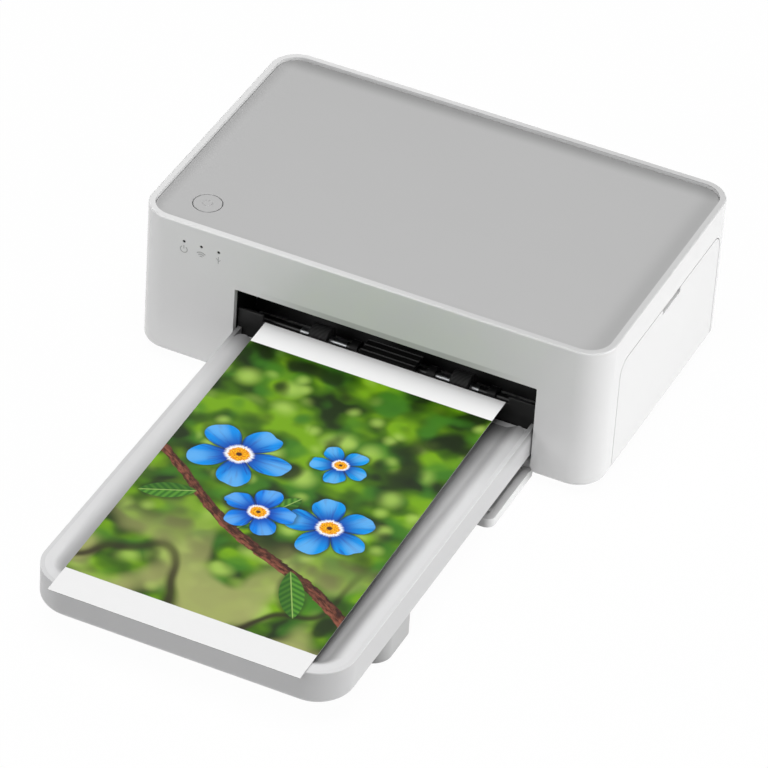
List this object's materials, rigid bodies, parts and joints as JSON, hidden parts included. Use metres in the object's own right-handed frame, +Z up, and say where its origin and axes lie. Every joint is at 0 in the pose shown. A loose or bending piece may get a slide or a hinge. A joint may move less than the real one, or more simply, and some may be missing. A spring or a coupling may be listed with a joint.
{
  "type": "compact photo printer",
  "caption": "Low white table-top photo printer with a recessed grey top, its paper cassette pushed into the front slot and a finished print lying on the cassette tray.",
  "frame": {"origin": "on the table, in the middle of the outline in X and Y, with the cassette and the print in place", "axes": "+X to the right seen from the front, +Y to the back along the paper path, +Z up"},
  "size_m": [0.1944, 0.2974, 0.067],
  "materials": {
    "shell_white": "gloss white moulded plastic",
    "panel_grey": "fine-grained light grey plastic",
    "lens_dark": "dark indicator lens",
    "board_green": "solder mask",
    "chassis_dark": "moulded",
    "rubber_black": "matt",
    "screw_steel": "plated",
    "inner_black": "moulded",
    "frame_steel": "zinc plated sheet",
    "shaft_steel": "ground",
    "gear_white": "moulded",
    "pinion_brass": "cut",
    "head_alloy": "extruded",
    "cartridge_dark": "moulded",
    "ribbon_dye": "dye film",
    "ribbon_yellow": "dye film",
    "cassette_white": "satin white moulded plastic",
    "paper_white": "coated",
    "print_paper": "glossy photo print"
  },
  "bodies": {
    "printer": {"outer_shell": "shell_white", "top_panel": "panel_grey", "indicator_lenses": "lens_dark", "switch_board": "board_green", "base_plate": "chassis_dark", "rubber_feet": "rubber_black", "base_screws": "screw_steel", "slot_liner": "inner_black", "exit_guide": "inner_black", "entry_ramp": "inner_black", "paper_guide": "inner_black", "left_frame": "frame_steel", "right_frame": "frame_steel", "frame_tie_bars": "frame_steel", "feed_motor": "frame_steel", "ribbon_motor": "frame_steel", "cartridge_frame": "cartridge_dark", "ribbon_film": "ribbon_dye", "main_board": "board_green", "board_chips": "inner_black", "board_connectors": "gear_white", "power_inlet": "inner_black", "fan_frame": "inner_black"},
    "power_button": {"power_button": "panel_grey"},
    "front_cover": {"front_cover": "shell_white"},
    "side_door": {"side_door": "shell_white"},
    "pickup_roller": {"pickup_shaft": "shaft_steel", "pickup_tyres": "rubber_black", "pickup_collars": "inner_black"},
    "feed_roller": {"capstan_roller": "shaft_steel", "capstan_gear": "gear_white"},
    "pinch_roller": {"pinch_roller": "rubber_black"},
    "platen_roller": {"platen_shaft": "shaft_steel", "platen_rubber": "rubber_black"},
    "feed_pinion": {"feed_pinion": "pinion_brass"},
    "ribbon_pinion": {"ribbon_pinion": "pinion_brass"},
    "head_unit": {"thermal_head": "head_alloy", "heat_sink": "head_alloy", "head_arms": "frame_steel", "head_pivot": "shaft_steel"},
    "supply_reel": {"supply_spool": "gear_white", "supply_roll": "ribbon_yellow", "supply_brake": "inner_black"},
    "takeup_reel": {"takeup_spool": "gear_white", "takeup_roll": "ribbon_dye", "takeup_gear": "gear_white"},
    "fan_rotor": {"fan_rotor": "inner_black"},
    "cassette": {"cassette_base": "cassette_white", "cassette_lid": "cassette_white", "cassette_feet": "cassette_white", "paper_stack": "paper_white", "lift_spring": "screw_steel"},
    "lift_plate": {"lift_plate": "frame_steel"},
    "print": {"print_sheet": "print_paper"}
  },
  "joints": [
    {"name": "power_button_press", "type": "slide", "parent": "printer", "child": "power_button", "axis": [0, 0, -1], "range_m": [0, 0.0006], "stiffness_N_per_m": 900, "springref_m": -0.001},
    {"name": "front_cover_hinge", "type": "hinge", "parent": "printer", "child": "front_cover", "pos_m": [0.0081, 0.02785, 0.0054], "axis": [-1, 0, 0], "range_deg": [0, 7]},
    {"name": "side_door_hinge", "type": "hinge", "parent": "printer", "child": "side_door", "pos_m": [0.09595, 0.08815, 0.006], "axis": [0, 1, 0], "range_deg": [0, 90]},
    {"name": "pickup_spin", "type": "hinge", "parent": "printer", "child": "pickup_roller", "pos_m": [0.0081, 0.03365, 0.0258], "axis": [1, 0, 0], "continuous": true},
    {"name": "feed_roller_spin", "type": "hinge", "parent": "printer", "child": "feed_roller", "pos_m": [0.0081, 0.05265, 0.02763], "axis": [1, 0, 0], "continuous": true},
    {"name": "pinch_spin", "type": "hinge", "parent": "printer", "child": "pinch_roller", "pos_m": [0.0081, 0.05265, 0.03347], "axis": [1, 0, 0], "continuous": true},
    {"name": "platen_spin", "type": "hinge", "parent": "printer", "child": "platen_roller", "pos_m": [0.0081, 0.09365, 0.02363], "axis": [1, 0, 0], "continuous": true},
    {"name": "feed_pinion_spin", "type": "hinge", "parent": "printer", "child": "feed_pinion", "pos_m": [-0.0605, 0.06644, 0.01802], "axis": [1, 0, 0], "continuous": true},
    {"name": "supply_spin", "type": "hinge", "parent": "printer", "child": "supply_reel", "pos_m": [0.0081, 0.06765, 0.0402], "axis": [1, 0, 0], "continuous": true},
    {"name": "takeup_spin", "type": "hinge", "parent": "printer", "child": "takeup_reel", "pos_m": [0.0081, 0.11965, 0.0402], "axis": [1, 0, 0], "continuous": true},
    {"name": "ribbon_pinion_spin", "type": "hinge", "parent": "printer", "child": "ribbon_pinion", "pos_m": [-0.0605, 0.11965, 0.0234], "axis": [1, 0, 0], "continuous": true},
    {"name": "head_lift", "type": "hinge", "parent": "printer", "child": "head_unit", "pos_m": [0.0081, 0.12665, 0.0525], "axis": [-1, 0, 0], "range_deg": [0, 3], "stiffness_Nm_per_rad": 2, "springref_deg": -8.59},
    {"name": "fan_spin", "type": "hinge", "parent": "printer", "child": "fan_rotor", "pos_m": [0.0081, 0.14165, 0.0492], "axis": [0, 1, 0], "continuous": true},
    {"name": "cassette_slide", "type": "slide", "parent": "printer", "child": "cassette", "axis": [0, -1, 0], "range_m": [0, 0.03]},
    {"name": "lift_plate_pivot", "type": "hinge", "parent": "cassette", "child": "lift_plate", "pos_m": [0.0081, -0.03735, 0.01445], "axis": [-1, 0, 0], "range_deg": [0, 1.7], "stiffness_Nm_per_rad": 3, "springref_deg": -8.59, "deforming": ["lift_spring"]},
    {"name": "print_slide", "type": "slide", "parent": "cassette", "child": "print", "axis": [0, -0.9995, -0.0306], "range_m": [0, 0.03]}
  ],
  "couplings": [
    {"joint": "feed_pinion_spin", "follows": "feed_roller_spin", "ratio": -2.5},
    {"joint": "ribbon_pinion_spin", "follows": "takeup_spin", "ratio": -2.5},
    {"joint": "pinch_spin", "follows": "feed_roller_spin", "ratio": -1.2}
  ]
}
